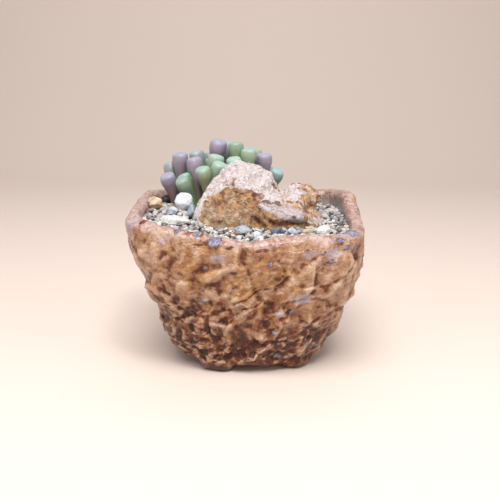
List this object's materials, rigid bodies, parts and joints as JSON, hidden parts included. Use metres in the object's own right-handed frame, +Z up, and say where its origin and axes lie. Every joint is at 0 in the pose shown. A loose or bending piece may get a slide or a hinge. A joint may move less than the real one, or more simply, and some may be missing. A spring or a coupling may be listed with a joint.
{
  "type": "potted baby toes",
  "caption": "Window-leaved succulent clump with a rock and loose pebbles on grit, in a hand-built rock-textured stoneware pot on short feet.",
  "frame": {"origin": "middle of the bounding box at the bottom, on the surface that the pot's feet stand on", "axes": "+Z up, -Y towards the front of the pot, +X to the right seen from the front"},
  "size_m": [0.1059, 0.0951, 0.1009],
  "materials": {
    "glazed_clay": "gloss",
    "screen_plastic": "matte",
    "soil": "matte",
    "grit": "matte",
    "rock_stone": "matte",
    "leaf_purple": "satin",
    "leaf_green": "satin",
    "leaf_grey_green": "satin",
    "pebble_white_stone": "satin",
    "pebble_blue_stone": "satin",
    "pebble_beige_stone": "satin",
    "pebble_black_stone": "satin"
  },
  "bodies": {
    "root": {"pot": "glazed_clay", "drain_screen": "screen_plastic", "potting_mix": "soil", "gravel_bed": "grit", "rock": "rock_stone", "rosette_left": "leaf_purple", "rosette_front": "leaf_green", "rosette_back": "leaf_purple", "rosette_middle": "leaf_green", "rosette_right": "leaf_grey_green", "pebble_white": "pebble_white_stone", "pebble_grey_blue": "pebble_blue_stone", "pebble_long": "pebble_blue_stone", "pebble_slab": "pebble_white_stone", "pebble_beige": "pebble_beige_stone", "pebble_black": "pebble_black_stone", "pebble_front_blue": "pebble_blue_stone", "pebble_front_round": "pebble_white_stone", "pebble_front_dark": "pebble_blue_stone", "pebble_front_pale": "pebble_blue_stone", "pebble_front_tan": "pebble_beige_stone", "pebble_front_white": "pebble_white_stone"}
  },
  "joints": []
}
